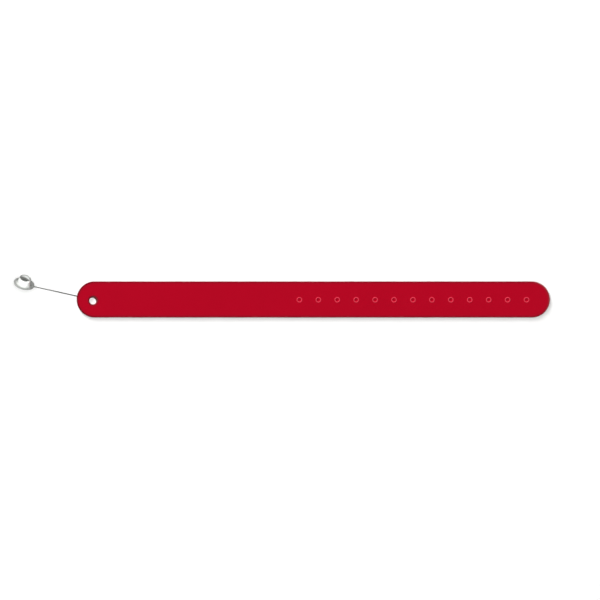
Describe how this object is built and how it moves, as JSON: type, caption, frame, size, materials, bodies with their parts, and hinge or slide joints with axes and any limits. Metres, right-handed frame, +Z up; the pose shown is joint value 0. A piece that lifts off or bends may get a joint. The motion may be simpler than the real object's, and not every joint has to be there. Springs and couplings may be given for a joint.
{
  "type": "reflective wristband",
  "caption": "Flat open wristband of soft reflective PVC with round ends, a fastening hole, embossed marker rings and a press-through metal eyelet tethered by a thin wire.",
  "frame": {"origin": "centre of the strap's underside, on the surface that the strap lies on", "axes": "+X along the strap, away from the fastening hole and the eyelet; +Y across the strap, towards the side on which the eyelet lies; +Z up through the marker rings' face"},
  "size_m": [0.2833, 0.0225, 0.0096],
  "materials": {
    "reflective_pvc": "soft red PVC with a fine micro-prism reflective layer under a smooth satin face",
    "eyelet_metal": "nickel-plated sheet steel, bright on the barrel and satin on the flange",
    "wire_steel": "plain drawn spring steel"
  },
  "bodies": {
    "root": {"strap": "reflective_pvc", "eyelet": "eyelet_metal", "tether_wire": "wire_steel"}
  },
  "joints": []
}
